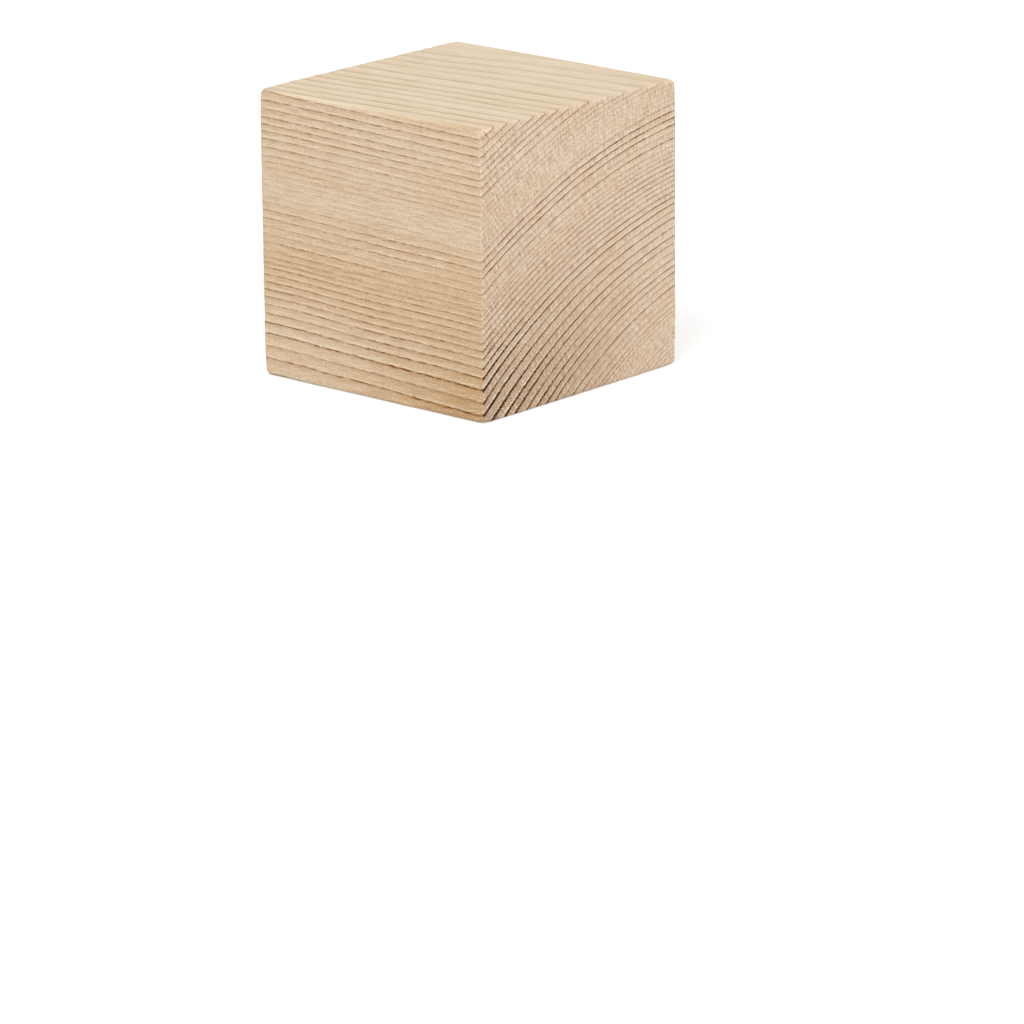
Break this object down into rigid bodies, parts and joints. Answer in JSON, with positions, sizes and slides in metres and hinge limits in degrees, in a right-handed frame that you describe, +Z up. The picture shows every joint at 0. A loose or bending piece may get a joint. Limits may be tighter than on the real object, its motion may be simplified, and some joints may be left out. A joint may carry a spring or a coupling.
{
  "type": "wooden cube",
  "caption": "Plain softwood cube with crosscut end grain and eased edges, for stacking, craft, display or packing out work on a bench.",
  "frame": {"origin": "middle of the face that the cube rests on", "axes": "+Z up, +X along the grain towards one crosscut end face, +Y across the stick to one resawn side"},
  "size_m": [0.05, 0.05, 0.05],
  "materials": {
    "sawn_softwood": "matte"
  },
  "bodies": {
    "root": {"wooden_cube": "sawn_softwood"}
  },
  "joints": []
}
